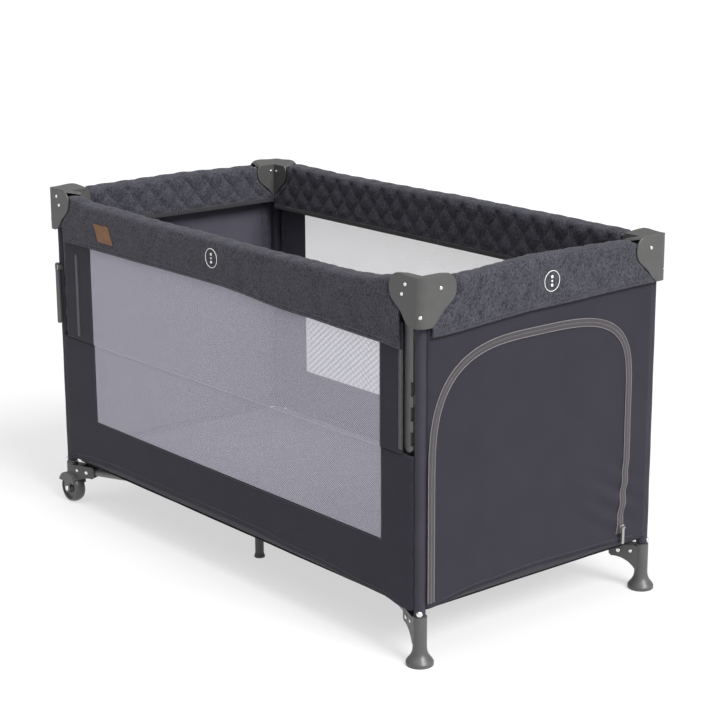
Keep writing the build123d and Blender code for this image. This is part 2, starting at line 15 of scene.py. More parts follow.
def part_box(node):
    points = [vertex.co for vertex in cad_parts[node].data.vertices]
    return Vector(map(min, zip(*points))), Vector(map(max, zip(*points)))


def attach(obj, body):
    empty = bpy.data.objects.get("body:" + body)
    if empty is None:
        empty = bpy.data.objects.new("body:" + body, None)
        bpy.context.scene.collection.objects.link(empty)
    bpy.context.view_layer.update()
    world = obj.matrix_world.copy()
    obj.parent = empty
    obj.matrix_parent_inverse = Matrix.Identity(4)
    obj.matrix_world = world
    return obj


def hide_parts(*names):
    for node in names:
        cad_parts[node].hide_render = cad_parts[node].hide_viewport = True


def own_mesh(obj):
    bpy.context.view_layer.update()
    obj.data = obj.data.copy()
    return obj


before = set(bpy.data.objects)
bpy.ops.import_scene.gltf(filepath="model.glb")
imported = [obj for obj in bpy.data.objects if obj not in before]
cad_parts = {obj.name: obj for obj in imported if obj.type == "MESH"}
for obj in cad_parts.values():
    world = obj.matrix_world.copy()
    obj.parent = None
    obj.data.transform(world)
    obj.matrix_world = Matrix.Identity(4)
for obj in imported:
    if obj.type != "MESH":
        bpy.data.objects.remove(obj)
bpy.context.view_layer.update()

# ---- what the frame says ---------------------------------
post_low, post_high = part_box("post_front_right")
POST_X = (post_low.x + post_high.x) / 2
POST_Y = -(post_low.y + post_high.y) / 2
POST_RADIUS = (post_high.x - post_low.x) / 2
CASTING_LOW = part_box("casting_front_right")[0].z
FLOOR_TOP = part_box("floor_cloth")[1].z
COVER_TOP = {side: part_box(f"cover_{side}")[1].z for side in ("front", "back", "left", "right")}

# side: (along, inward, half length, distance of the post line from the middle)
SIDES = {
    "front": ((1, 0), (0, 1), POST_X, POST_Y),
    "back": ((-1, 0), (0, -1), POST_X, POST_Y),
    "right": ((0, 1), (-1, 0), POST_Y, POST_X),
    "left": ((0, -1), (1, 0), POST_Y, POST_X),
}
CORNERS = {"front_right": (1, -1), "front_left": (-1, -1), "back_right": (1, 1), "back_left": (-1, 1)}
# side: the two halves of its rail, by the sign of x
HALVES = {
    "front": {1: "right", -1: "left"},
    "back": {-1: "right", 1: "left"},
    "right": {-1: "front", 1: "back"},
    "left": {1: "front", -1: "back"},
}

# ---- sizes of the soft goods -----------------------------
COVER_OUT = 0.021  # how far a cover stands outside the line of the posts
COVER_IN = 0.018  # and inside it
COVER_ROUND = 0.010  # radius of its shoulders
COVER_SKIN = 0.0045  # thickness over the rail
FLAP_SKIN = 0.0040  # thickness of the two flaps
FLAP_DEPTH = 0.09  # rough height of a flap
TUCK_UNDER = 0.005  # how far a flap goes in under the edge of a wing
TUCK_END = 0.052  # where the top of a cover stops inside the casting, from the post axis
TUCK_IN = 0.0042  # how much the cover draws in there
TUCK_TOP = 0.7275  # height that its top draws down to there
# outline of a casting's wing: height, distance from the post axis
WING_EDGE = ((0.647, 0.004), (0.671, 0.032), (0.695, 0.059), (0.706, 0.063), (0.718, 0.065))
# where the outer and inner flaps stop, from the post axis
FLAP_END = {"front": 0.037, "back": 0.018, "left": 0.012, "right": 0.010}
INNER_END = 0.0185
BINDING = 0.0105, 0.0009  # width and height of the tape on the inner hem
RINGS = {"front": (0.0, 0.677), "right": (0.003, 0.690)}  # middles of the stitched rings
RING_RADIUS = 0.0195
RING_DOTS = ((0, 0.008, 0.0032), (0, -0.008, 0.0032), (0, 0, 0.0022))  # place and size
RING_CALM = (0.024, 0.012)  # the quilting is flat this near a ring, and comes back over this length
TAG_X = (-0.441, -0.383)
TAG_Z = (0.646, 0.684)
TAG_LEAN = 0.016  # how far the tag's lower edge is moved along
TAG_INSET = 0.0028  # from the tag's edge to its stitches
DIAMOND = (0.054, 0.064)  # width and height of a quilted diamond
DRAG_DEPTH, DRAG_PITCH, DRAG_RISE = 0.0022, 0.027, -0.046
# height of the quilting, by side for the outer flap and by part for the rest
QUILT_OUT = {"front": 0.0007, "back": 0.0034, "left": 0.0020, "right": 0.0036}
QUILT_PART = {"turn_out": 0.0016, "top": 0.0026, "turn_in": 0.0026, "inner": 0.0064}
# heights along each side, as (x, z) in side axes, and how far the top of a cover rises or sags
HEM_OUT = {
    "front": ((-0.575, 0.624), (0.0, 0.625), (0.274, 0.612), (0.522, 0.605), (0.575, 0.601)),
    "back": ((-0.59, 0.626), (0.59, 0.626)),
    "right": ((-0.284, 0.628), (0.0, 0.641), (0.267, 0.646)),
    "left": ((-0.284, 0.632), (0.0, 0.641), (0.284, 0.632)),
}
HEM_IN = {"front": 0.627, "back": 0.626, "left": 0.643, "right": 0.643}
TOP_SAG = {
    "front": (
        (-0.552, 0.0125), (-0.48, 0.003), (-0.2, -0.001), (0.2, -0.003), (0.42, -0.002),
        (0.49, 0.002), (0.552, 0.0115),
    ),
    "back": ((-0.546, 0.0), (-0.1, 0.002), (0.3, -0.001), (0.546, 0.002)),
    "right": ((-0.23, -0.008), (0.0, 0.001), (0.24, -0.003)),
    "left": ((-0.23, -0.005), (0.0, -0.002), (0.23, -0.005)),
}
SPLIT = {"front": -0.030, "back": 0.0, "right": -0.030, "left": 0.0}  # where a cover's halves meet
PANEL_HEM = {
    "front": (
        (-0.56, 0.121), (-0.49, 0.128), (-0.40, 0.132), (0.1, 0.133), (0.26, 0.125),
        (0.52, 0.115), (0.58, 0.106),
    ),
    "back": ((-0.58, 0.112), (-0.45, 0.126), (0.0, 0.132), (0.45, 0.126), (0.58, 0.112)),
    "right": ((-0.30, 0.112), (-0.154, 0.125), (-0.014, 0.129), (0.144, 0.125), (0.30, 0.118)),
    "left": ((-0.30, 0.115), (0.0, 0.128), (0.30, 0.115)),
}
PANEL_Y = -0.0135  # cloth of a side panel, from the post line
SKIRT_END = 0.017  # where a skirt stops, from the post axis
SKIRT_DEPTH = 0.023  # how far inside the line of the posts a skirt meets the floor cloth
SLEEVE_GAP = 0.0045  # from the post axis to the edge of a panel
UPPER_OUT = 0.0024  # the dropping part of the front panel hangs this far outside the lower part
SEAM_Z = 0.405  # the seam across the front panel, where the side zips end
NET_LOW = 0.225
NET_HIGH = 0.650
FRONT_NET = (-0.472, 0.517)
BACK_NET = (-0.515, 0.515)
CLOTH = 0.0012  # thickness
NET_PITCH = (0.0043, 0.0034)  # of the holes, along and up
GUSSET = 0.075  # width
RUCHE_X = 0.028  # from the line of the posts to the gathered strip
SLEEVE_THICK = 0.0011
TILES = (8, 6)  # of the mattress and the floor cloth, along X and Y
SECTIONS = 4  # that the mattress folds into
MATTRESS_CORNER = 0.028
# small bars sewn along a line: pitch, and (length, width, height)
HEM_STITCH = 0.0044, (0.0030, 0.0007, 0.0005)
TAG_STITCH = 0.0032, (0.0020, 0.0006, 0.0004)
SEAM_STITCH = 0.0042, (0.0028, 0.0006, 0.0004)
ZIP_TOOTH = 0.0021, (0.0013, 0.0030, 0.0014)
RUCHE_FOLD = 0.0062, (0.0046, 0.0135, 0.0016)


# ---- small helpers ---------------------------------------
def ease(x, knots):
    """A smooth curve through (x, value) knots."""
    at = np.array([k[0] for k in knots])
    value = np.array([k[1] for k in knots])
    i = np.clip(np.searchsorted(at, x) - 1, 0, len(at) - 2)
    t = np.clip((x - at[i]) / (at[i + 1] - at[i]), 0, 1)
    return value[i] + (value[i + 1] - value[i]) * t * t * (3 - 2 * t)


def ripple(x, y, seed):
    """Soft unevenness from -1 to 1: a few waves with odd lengths."""
    phase = np.array([1.7, 4.1, 2.6, 5.3, 0.4]) * seed
    waves = ((7, 3), (-13, 9), (23, -17), (37, 31), (-53, 41))
    total = sum(np.sin(a * x + b * y + p) / (i + 1) for i, ((a, b), p) in enumerate(zip(waves, phase)))
    return total / 2.28


def to_world(side, x, y, z):
    """World points of side axes, stacked on the last axis."""
    along, inward, _, reach = SIDES[side]
    x, y, z = np.broadcast_arrays(x, y, z)
    world_x = along[0] * x + inward[0] * (y - reach)
    world_y = along[1] * x + inward[1] * (y - reach)
    return np.stack([world_x, world_y, z], -1)


def turned(side, x, y, z):
    """World direction of a direction in side axes."""
    along, inward, _, _ = SIDES[side]
    return np.array([along[0] * x + inward[0] * y, along[1] * x + inward[1] * y, z], float)


def mesh_object(name, vertices, faces, material, smooth=True):
    """A new object with a mesh of these points and faces."""
    mesh = bpy.data.meshes.new(name)
    faces = faces if isinstance(faces, list) else faces.tolist()
    mesh.from_pydata(vertices.reshape(-1, 3).tolist(), [], faces)
    mesh.polygons.foreach_set("use_smooth", [smooth] * len(mesh.polygons))
    mesh.materials.append(material)
    mesh.validate()
    piece = bpy.data.objects.new(name, mesh)
    bpy.context.scene.collection.objects.link(piece)
    return piece


def grid_faces(rows, cols, loop_rows=False, keep=None):
    """Quads of a grid of points. keep marks the cells that stay."""
    index = np.arange(rows * cols).reshape(rows, cols)
    if loop_rows:
        index = np.vstack([index, index[:1]])
    quads = np.stack([index[:-1, :-1], index[:-1, 1:], index[1:, 1:], index[1:, :-1]], -1)
    return quads[keep] if keep is not None else quads.reshape(-1, 4)


def tidy(piece, weld=0.0, outward=True):
    """Drops loose points, welds points that meet and makes the faces agree."""
    work = bmesh.new()
    work.from_mesh(piece.data)
    bmesh.ops.delete(work, geom=[v for v in work.verts if not v.link_faces], context="VERTS")
    if weld:
        bmesh.ops.remove_doubles(work, verts=work.verts, dist=weld)
    if outward:
        bmesh.ops.recalc_face_normals(work, faces=work.faces)
    work.to_mesh(piece.data)
    work.free()
    return piece


def sheet_object(name, points, material, thickness=CLOTH, keep=None, inner=None):
    """A grid of points as a sheet of cloth, with its thickness and the material of its inner side."""
    faces = grid_faces(*points.shape[:2], keep=keep)
    piece = tidy(mesh_object(name, points, faces, material), outward=False)
    if inner:
        piece.data.materials.append(inner)
    if thickness:
        solid = piece.modifiers.new("thickness", "SOLIDIFY")
        solid.thickness = thickness
        solid.offset = 0
        solid.material_offset = 1 if inner else 0
    return piece


def unit(v):
    """The same directions with length 1."""
    return v / np.maximum(np.linalg.norm(v, axis=-1, keepdims=True), 1e-9)


def frames_along(path, normal):
    """Direction, sideways direction and normal at each point of a path."""
    ahead = unit(np.gradient(path, axis=0))
    across = unit(np.cross(normal, ahead))
    return ahead, across, unit(np.cross(ahead, across))


def ribbon(name, path, normal, width, height, material, lift=0.0, crown=0.3):
    """A flat band along a path: width across, height off the surface, slightly domed."""
    _, across, up = frames_along(path, normal)
    profile = [(-0.5, 0), (-0.5, 1 - crown), (-0.3, 1), (0.3, 1), (0.5, 1 - crown), (0.5, 0)]
    rows = [path + across * (a * width) + up * (h * height + lift) for a, h in profile]
    points = np.stack(rows, 0)
    faces = grid_faces(len(profile), len(path), loop_rows=True).tolist()
    ends = [[r * len(path) for r in range(len(profile))]]
    ends.append([r * len(path) + len(path) - 1 for r in reversed(range(len(profile)))])
    return tidy(mesh_object(name, points, faces + ends, material))


def resample(path, pitch):
    """The path again with points a pitch apart."""
    along = np.concatenate([[0], np.cumsum(np.linalg.norm(np.diff(path, axis=0), axis=1))])
    count = max(2, int(along[-1] / pitch) + 1)
    at = np.linspace(0, along[-1], count)
    return np.stack([np.interp(at, along, path[:, k]) for k in range(3)], -1)


def dashes(name, path, normal, pitch, size, material, lift=0.0):
    """Small pillowed bars along a path: stitches or zip teeth. size is (along, across, height)."""
    path = resample(path, pitch)
    ahead, across, up = frames_along(path, normal)
    corners = [(-0.5, -0.5, 0), (0.5, -0.5, 0), (0.5, 0.5, 0), (-0.5, 0.5, 0)]
    corners += [(a * 0.7, b * 0.7, 1) for a, b, _ in corners]
    bar = [
        path + ahead * (a * size[0]) + across * (b * size[1]) + up * (h * size[2] + lift)
        for a, b, h in corners
    ]
    points = np.stack(bar, 1)
    sides = [[0, 1, 5, 4], [1, 2, 6, 5], [2, 3, 7, 6], [3, 0, 4, 7], [4, 5, 6, 7], [3, 2, 1, 0]]
    faces = (np.arange(len(path))[:, None, None] * 8 + np.array(sides)[None]).reshape(-1, 4)
    return mesh_object(name, points, faces, material, smooth=False)


# ---- materials -------------------------------------------
class Shader:
    """A Principled material and a short way to wire its nodes."""

    def __init__(self, name, **sockets):
        self.material = bpy.data.materials.new(name)
        self.material.use_nodes = True
        self.tree = self.material.node_tree
        self.shader = self.tree.nodes["Principled BSDF"]
        for socket, value in sockets.items():
            self.shader.inputs[socket.replace("_", " ")].default_value = value
        self.place = self.tree.nodes.new("ShaderNodeTexCoord").outputs["Object"]

    def node(self, kind, output=0, **inputs):
        """A new node. An input is a value, a link, or a setting of the node; i0 is the first input."""
        made = self.tree.nodes.new("ShaderNode" + kind)
        for key, value in inputs.items():
            if hasattr(made, key) and key not in made.inputs:
                setattr(made, key, value)
                continue
            socket = made.inputs[int(key[1:])] if key[0] == "i" and key[1:].isdigit() else made.inputs[key]
            if isinstance(value, bpy.types.NodeSocket):
                self.tree.links.new(value, socket)
            else:
                socket.default_value = value
        return made.outputs[output]

    def math(self, operation, a, b=0.0):
        return self.node("Math", operation=operation, i0=a, i1=b)

    def noise(self, scale, detail=2.0, stretch=(1, 1, 1), roughness=0.5):
        place = self.node("Mapping", Vector=self.place, Scale=stretch)
        return self.node("TexNoise", Vector=place, Scale=scale, Detail=detail, Roughness=roughness)

    def threads(self, pitch, direction, distortion=0.0):
        """Parallel threads across an axis, 0 to 1."""
        return self.node(
            "TexWave", output=1, Vector=self.place, bands_direction=direction, wave_profile="SIN",
            Scale=math.pi / (10 * pitch), Distortion=distortion,
        )

    def mix(self, share, low, high):
        """A colour between two colours."""
        return self.node("Mix", output=2, data_type="RGBA", i0=share, i6=(*low, 1.0), i7=(*high, 1.0))

    def span(self, value, low, high, to_low=0.0, to_high=1.0):
        """The value, moved from one range to another and held inside it."""
        return self.node("MapRange", i0=value, i1=low, i2=high, i3=to_low, i4=to_high)

    def put(self, socket, value):
        self.tree.links.new(value, self.shader.inputs[socket])

    def bump(self, height, distance, strength=1.0):
        self.put("Normal", self.node("Bump", Height=height, Distance=distance, Strength=strength))

    def done(self):
        return self.material


def melange(name, dark, light):
    """Heathered woven cover cloth: flecked yarns over a fine plain weave."""
    s = Shader(name, Roughness=0.9, Sheen_Weight=0.08, Sheen_Roughness=0.5, Specular_IOR_Level=0.15)
    streak = s.noise(300, 2.5, (1.3, 1.3, 0.6))
    fleck = s.noise(520, 2.0, (0.6, 0.6, 1.5))
    cloud = s.noise(28, 2.0)
    yarn = s.math("ADD", s.span(streak, 0.36, 0.66, 0.0, 0.58), s.span(fleck, 0.34, 0.68, 0.0, 0.42))
    yarn = s.math("ADD", yarn, s.span(cloud, 0.3, 0.7, -0.08, 0.08))
    s.put("Base Color", s.mix(yarn, dark, light))
    weave = s.math("MULTIPLY", s.threads(0.0011, "DIAGONAL"), s.threads(0.0011, "Z"))
    s.bump(s.math("ADD", weave, s.math("MULTIPLY", streak, 0.8)), 0.0005, 0.6)
    return s.done()


def plain_cloth(name, colour, lift=1.25, roughness=0.78):
    """Smooth coated weave: fine threads, faint creases and a low sheen."""
    s = Shader(name, Roughness=roughness, Sheen_Weight=0.05, Sheen_Roughness=0.4, Specular_IOR_Level=0.25)
    fine = s.math("ADD", s.threads(0.0009, "Z"), s.threads(0.0009, "DIAGONAL"))
    cloud = s.noise(14, 3.0)
    tone = s.math("ADD", s.math("MULTIPLY", fine, 0.2), s.span(cloud, 0.3, 0.7, 0.0, 0.6))
    s.put("Base Color", s.mix(tone, colour, tuple(c * lift for c in colour)))
    s.bump(s.math("ADD", fine, s.math("MULTIPLY", s.noise(60, 3.0), 2.0)), 0.0004, 0.35)
    return s.done()


def net_cloth(name, colour):
    """Knitted net: round holes on a diagonal lattice between pale threads."""
    s = Shader(name, Roughness=0.8, Sheen_Weight=0.1)
    split = s.node("SeparateXYZ", Vector=s.place).node
    s.put("Base Color", s.mix(s.noise(90, 2.0), colour, tuple(c * 1.08 for c in colour)))
    along = s.math("MULTIPLY", s.math("ADD", split.outputs[0], split.outputs[1]), math.pi / NET_PITCH[0])
    up = s.math("MULTIPLY", split.outputs[2], math.pi / NET_PITCH[1])
    rising = s.math("SINE", s.math("ADD", along, up))
    falling = s.math("SINE", s.math("SUBTRACT", along, up))
    wave = s.math("ABSOLUTE", s.math("MULTIPLY", rising, falling))
    s.put("Alpha", s.span(wave, 0.34, 0.48, 1.0, 0.0))
    return s.done()


def plastic(name, colour, roughness=0.42, grain=0.25):
    """Moulded plastic with a fine spark texture and handling marks."""
    s = Shader(name, Specular_IOR_Level=0.45)
    spark = s.noise(1400, 2.0)
    rub = s.noise(35, 4.0, roughness=0.65)
    s.put("Base Color", s.mix(s.span(rub, 0.35, 0.7), colour, tuple(min(1.0, c * 1.16) for c in colour)))
    s.put("Roughness", s.span(rub, 0.3, 0.7, roughness - 0.07, roughness + 0.10))
    s.bump(spark, 0.0003, grain)
    return s.done()


def painted_steel(name, colour):
    """Powder-coated tube: fine orange peel."""
    s = Shader(name, Metallic=0.25, Specular_IOR_Level=0.5)
    peel = s.noise(420, 2.0)
    s.put("Base Color", s.mix(s.noise(20, 3.0), colour, tuple(c * 1.12 for c in colour)))
    s.put("Roughness", s.span(s.noise(60, 3.0), 0.3, 0.7, 0.32, 0.46))
    s.bump(peel, 0.0004, 0.25)
    return s.done()


def bright_metal(name, colour, roughness=0.25):
    """Plated steel with a fine brushed grain."""
    s = Shader(name, Metallic=1.0)
    brushed = s.noise(700, 3.0, (1, 1, 0.08))
    s.put("Base Color", s.mix(brushed, tuple(c * 0.85 for c in colour), colour))
    s.put("Roughness", s.span(brushed, 0.3, 0.7, roughness, roughness + 0.15))
    s.bump(brushed, 0.0002, 0.3)
    return s.done()


def leather(name, colour):
    """Tan leather with pebbled grain and darker pores."""
    s = Shader(name, Roughness=0.55, Specular_IOR_Level=0.4)
    grain = s.node("TexVoronoi", Vector=s.place, Scale=900.0)
    cloud = s.noise(70, 3.0)
    s.put("Base Color", s.mix(s.span(cloud, 0.3, 0.7), tuple(c * 0.7 for c in colour), colour))
    s.bump(s.math("ADD", grain, s.noise(2500, 2.0)), 0.0003, 0.6)
    return s.done()


def thread(name, colour):
    """Twisted sewing thread."""
    s = Shader(name, Roughness=0.7, Sheen_Weight=0.2)
    twist = s.noise(1800, 1.0, (1, 1, 3))
    s.put("Base Color", s.mix(twist, tuple(c * 0.75 for c in colour), colour))
    s.bump(twist, 0.0002, 0.5)
    return s.done()


def webbing(name, colour):
    """Ribbed tape for bindings and zips."""
    s = Shader(name, Roughness=0.8, Sheen_Weight=0.2)
    rib = s.math("ADD", s.threads(0.0013, "Z"), s.threads(0.0013, "DIAGONAL"))
    s.put("Base Color", s.mix(s.math("MULTIPLY", rib, 0.5), tuple(c * 0.78 for c in colour), colour))
    s.bump(rib, 0.0004, 0.5)
    return s.done()


MATERIALS = {
    "cover": melange("cover_melange", (0.010, 0.010, 0.013), (0.084, 0.083, 0.104)),
    "panel": plain_cloth("panel_cloth", (0.0195, 0.0178, 0.0262)),
    # painted highlight: the sleeves are a lighter copy of the panel cloth, standing in for light on the
    # round posts
    "sleeve": plain_cloth("sleeve_cloth_painted_highlight", (0.0275, 0.0252, 0.0360), roughness=0.6),
    # painted light: the inner side of the panels is a lighter copy of the panel cloth, lifting the shaded
    # inside
    "inside_painted_light": plain_cloth("panel_inside_painted_light", (0.054, 0.051, 0.068)),
    "floor": plain_cloth("floor_cloth", (0.030, 0.030, 0.036), roughness=0.85),
    "mattress": plain_cloth("mattress_cloth", (0.050, 0.050, 0.060), 1.4, 0.88),
    "net": net_cloth("net_cloth", (0.48, 0.47, 0.555)),
    # painted light: the back net is a much lighter copy of the front net, standing in for light on its
    # shaded face
    "net_back_painted_light": net_cloth("net_back_painted_light", (0.86, 0.85, 0.90)),
    "casting": plastic("casting_plastic", (0.062, 0.062, 0.061)),
    "foot": plastic("foot_plastic", (0.066, 0.066, 0.066), 0.38),
    "hub": plastic("hub_plastic", (0.060, 0.060, 0.060), 0.5),
    "guide": plastic("guide_plastic", (0.13, 0.127, 0.126), 0.45),
    # painted shade: a darker copy of the guide plastic for the front-left guide, which sits in shadow; the
    # release lever shares it
    "lever_and_shaded_guide": plastic("lever_and_shaded_guide_plastic", (0.075, 0.075, 0.076), 0.45),
    "wheel": plastic("wheel_plastic", (0.060, 0.060, 0.060), 0.35),
    "latch": plastic("latch_plastic", (0.045, 0.045, 0.045), 0.5),
    "button": plastic("button_plastic", (0.15, 0.15, 0.15), 0.4),
    "steel": painted_steel("painted_steel", (0.16, 0.16, 0.155)),
    "rivet": bright_metal("rivet_steel", (0.85, 0.85, 0.84)),
    "zip_metal": bright_metal("zip_metal", (0.50, 0.49, 0.47), 0.3),
    "zip_tape": webbing("zip_tape", (0.043, 0.038, 0.044)),
    "zip_teeth": plastic("zip_teeth", (0.13, 0.118, 0.122), 0.4, 0.1),
    "binding": webbing("binding_tape", (0.016, 0.016, 0.019)),
    "thread": thread("sewing_thread", (0.085, 0.085, 0.10)),
    "pale_thread": thread("pale_thread", (0.20, 0.182, 0.19)),
    "white_thread": thread("white_thread", (0.85, 0.85, 0.85)),
    "leather": leather("tag_leather", (0.195, 0.086, 0.030)),
}

NODE_MATERIAL = {
    "post": "steel", "floor_tube": "steel", "rail": "steel", "casting": "casting", "bracket": "foot",
    "fasteners": "rivet", "guide": "guide", "carriage": "latch", "release_lever": "lever_and_shaded_guide",
    "hub": "hub", "middle_leg": "hub", "latch_button": "button", "latch": "latch", "wheel": "wheel",
    "zip_slider": "zip_metal", "zip_pull": "zip_metal",
}


def paint_nodes():
    """Gives every CAD node that stays in sight its material."""
    for name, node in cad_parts.items():
        for start in sorted(NODE_MATERIAL, key=len, reverse=True):
            if name.startswith(start):
                node.data.materials.clear()
                node.data.materials.append(MATERIALS[NODE_MATERIAL[start]])
                break
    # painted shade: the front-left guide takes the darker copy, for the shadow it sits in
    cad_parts["guide_front_left"].data.materials[0] = MATERIALS["lever_and_shaded_guide"]


# ---- riding the frame ------------------------------------
SIDE_BODY = {"front": "front_right", "right": "front_right", "left": "front_left", "back": "back_right"}


def on_side(piece, side):
    """A piece of a side panel: it rides on the body that carries that side."""
    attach(piece, SIDE_BODY[side])
    if side in ("front", "back"):
        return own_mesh(piece)
    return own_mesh(piece)


def on_rail(piece, side, sign):
    """A piece on a half rail: it swings with the rail."""
    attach(piece, f"rail_{side}_{HALVES[side][sign]}")
    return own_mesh(piece)


# ---- rail covers -----------------------------------------
def wing_reach(z):
    """Distance from the post axis of the edge of a casting's wing, at a height."""
    return np.interp(z, [k[0] for k in WING_EDGE], [k[1] for k in WING_EDGE])


def cover_end(side, z, part):
    """Distance from the post axis where a row of the cover stops."""
    if part in ("turn_out", "top", "turn_in"):
        return TUCK_END
    low = INNER_END if part == "inner" else FLAP_END[side]
    return max(low, float(wing_reach(z)) - TUCK_UNDER) if z > CASTING_LOW - 0.004 else low


def tucked(side, x, z):
    """How far, from 0 to 1, the cover is drawn in to pass under a casting's wing."""
    from_post = SIDES[side][2] - np.abs(x)
    near = np.clip((wing_reach(z) + 0.011 - from_post) / 0.009, 0, 1)
    near = np.where(z > CASTING_LOW - 0.003, near, 0)
    return near * near * (3 - 2 * near)


def cover_path():
    """Rows of the cover's section: (part, share of that part), outer hem to inner hem."""
    rows = [("outer", 0.0)]
    for part, steps in (("outer", 19), ("turn_out", 5), ("top", 6), ("turn_in", 5), ("inner", 31)):
        rows += [(part, t) for t in np.linspace(0, 1, steps + 1)[1:]]
    return rows


def cover_row(side, part, t, x):
    """Points (y, z), normals and path length of one row of a cover at the places x."""
    top = COVER_TOP[side] + ease(x, TOP_SAG[side])
    r, outside, inside = COVER_ROUND, -COVER_OUT, COVER_IN
    shoulder = top - r
    half_top = (COVER_OUT + COVER_IN) / 2 - r
    if part == "outer":
        low = ease(x, HEM_OUT[side])
        z = low + (shoulder - low) * t
        belly = 0.0012 * np.sin(math.pi * t)
        return outside - belly, z, -1, 0, -(half_top + r * math.pi / 2 + (shoulder - z))
    if part == "inner":
        z = shoulder + (HEM_IN[side] - shoulder) * t
        return inside, z, 1, 0, half_top + r * math.pi / 2 + (shoulder - z)
    if part == "top":
        y = (outside + r) + (inside - outside - 2 * r) * t
        return y, top + 0.0015 * math.sin(math.pi * t), 0, 1, y - (outside + inside) / 2
    angle = t * math.pi / 2
    sine, cosine = math.sin(angle), math.cos(angle)
    if part == "turn_out":
        length = -(half_top + r * (math.pi / 2 - angle))
        return outside + r - r * cosine, shoulder + r * sine, -cosine, sine, length
    return inside - r + r * sine, shoulder + r * cosine, sine, cosine, half_top + r * angle


def quilt(x, length):
    """Height of a diamond quilting, 0 on the stitch lines and 1 in the middle of a diamond."""
    a = x / DIAMOND[0] + length / DIAMOND[1]
    b = x / DIAMOND[0] - length / DIAMOND[1]
    return np.sqrt(np.abs(np.sin(math.pi * a) * np.sin(math.pi * b)))


def drag_folds(x, z):
    """Slanting pull folds in a tightly laced cover, from -1 to 1."""
    along = x / DRAG_PITCH + (z - 0.68) / DRAG_RISE
    depth = 0.65 + 0.35 * ripple(x, z * 3, 1.9)
    return np.sin(2 * math.pi * along + 1.2 * ripple(x * 2, z * 2, 3.4)) * depth


def flap_level(side, sign, part, t):
    """Height of a row of a flap at the cover's end."""
    shoulder = COVER_TOP[side] - COVER_ROUND
    if part == "inner":
        return shoulder + (HEM_IN[side] - shoulder) * t
    hem = HEM_OUT[side][-1 if sign > 0 else 0][1]
    return hem + (shoulder - hem) * t


def cover_puff(side, part, t, x, z, length):
    """How far the padding stands out along a row of a cover. It is flat near the hems and the ring."""
    strength = QUILT_OUT[side] if part == "outer" else QUILT_PART[part]
    from_hem = {"outer": t, "inner": 1 - t}.get(part, 1.0) * FLAP_DEPTH
    fade = np.clip((from_hem - 0.010) / 0.010, 0, 1)
    puff = strength * (quilt(x, length) - 0.45) * fade + 0.0009 * ripple(x * 3, z * 3, 1.3)
    if part == "outer" and side == "right":
        puff = puff + DRAG_DEPTH * fade * drag_folds(x, z)
    if part == "outer" and side in RINGS:
        from_ring = np.hypot(x - RINGS[side][0], z - RINGS[side][1])
        puff = puff * np.clip((from_ring - RING_CALM[0]) / RING_CALM[1], 0, 1)
    return puff


def shell(name, outer, inner, material):
    """A closed skin between two open grids of points that share their first and last rows."""
    points = np.stack(outer + inner[::-1], 0)
    rows, cols = points.shape[:2]
    ends = []
    for column in (0, cols - 1):
        for i in range(len(outer) - 1):
            a, b = i * cols + column, (i + 1) * cols + column
            c, d = (rows - 2 - i) * cols + column, (rows - 1 - i) * cols + column
            ends.append([a, b, c, d])
    faces = grid_faces(rows, cols, loop_rows=True)
    return tidy(mesh_object(name, points, np.vstack([faces, ends]), material))


def cover_half(side, sign):
    """Padded cloth over one half of a rail, with its hems."""
    half = SIDES[side][2]
    columns = int((half - abs(SPLIT[side])) / 0.0035)
    outer_skin, inner_skin = [], []
    for part, t in cover_path():
        stop = half - cover_end(side, flap_level(side, sign, part, t), part)
        x = np.linspace(SPLIT[side], sign * stop, columns + 1)
        y, z, ny, nz, length = cover_row(side, part, t, x)
        drawn = tucked(side, x, z)
        puff = cover_puff(side, part, t, x, z, length) * (1 - drawn) - drawn * TUCK_IN * np.abs(ny)
        z = z + drawn * nz * (TUCK_TOP - z)
        outer_skin.append(to_world(side, x, y + ny * puff, z + nz * puff))
        skin = FLAP_SKIN if part in ("outer", "inner") else COVER_SKIN
        inner_skin.append(to_world(side, x, y - ny * skin, z - nz * skin))
    return shell(f"cover_{side}_{HALVES[side][sign]}", outer_skin, inner_skin, MATERIALS["cover"])


def hem_line(side, sign, inner, above):
    """World path along a hem of a half cover, a little above its edge."""
    half = SIDES[side][2]
    level = HEM_IN[side] if inner else 0.6
    part = "inner" if inner else "outer"
    x = np.linspace(SPLIT[side] + sign * 0.001, sign * (half - cover_end(side, level, part) - 0.001), 160)
    y, z, ny, _, _ = cover_row(side, part, 1.0 if inner else 0.0, x)
    return to_world(side, x, y + ny * 0.0012, z + above)


def cover_trim(side, sign):
    """Binding along the inner hem of a half cover and two rows of stitches along the outer one."""
    half_name = HALVES[side][sign]
    inward = turned(side, 0, 1, 0)
    path = hem_line(side, sign, True, 0.0048)
    name = f"binding_{side}_{half_name}"
    on_rail(ribbon(name, path, inward, *BINDING, MATERIALS["binding"], lift=-0.0006), side, sign)
    for row, above in enumerate((0.0035, 0.0095)):
        path = hem_line(side, sign, False, above)
        name = f"hem_stitch_{side}_{half_name}_{row}"
        on_rail(dashes(name, path, -inward, *HEM_STITCH, MATERIALS["thread"]), side, sign)


def build_covers():
    """Rail covers with their bindings and stitches."""
    for side in SIDES:
        for sign, half_name in HALVES[side].items():
            piece = on_rail(cover_half(side, sign), side, sign)
            if half_name in ("right", "front"):
                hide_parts(f"cover_{side}")
            cover_trim(side, sign)


def sewn_circle(name, side, x, z, radius, width, samples):
    """A thread laid in a circle on the outside of a cover."""
    turn = np.linspace(0, 2 * math.pi, samples)
    surface = -COVER_OUT - 0.0014
    path = to_world(side, x + radius * np.cos(turn), surface, z + radius * np.sin(turn))
    return ribbon(name, path, turned(side, 0, -1, 0), width, 0.0007, MATERIALS["white_thread"])


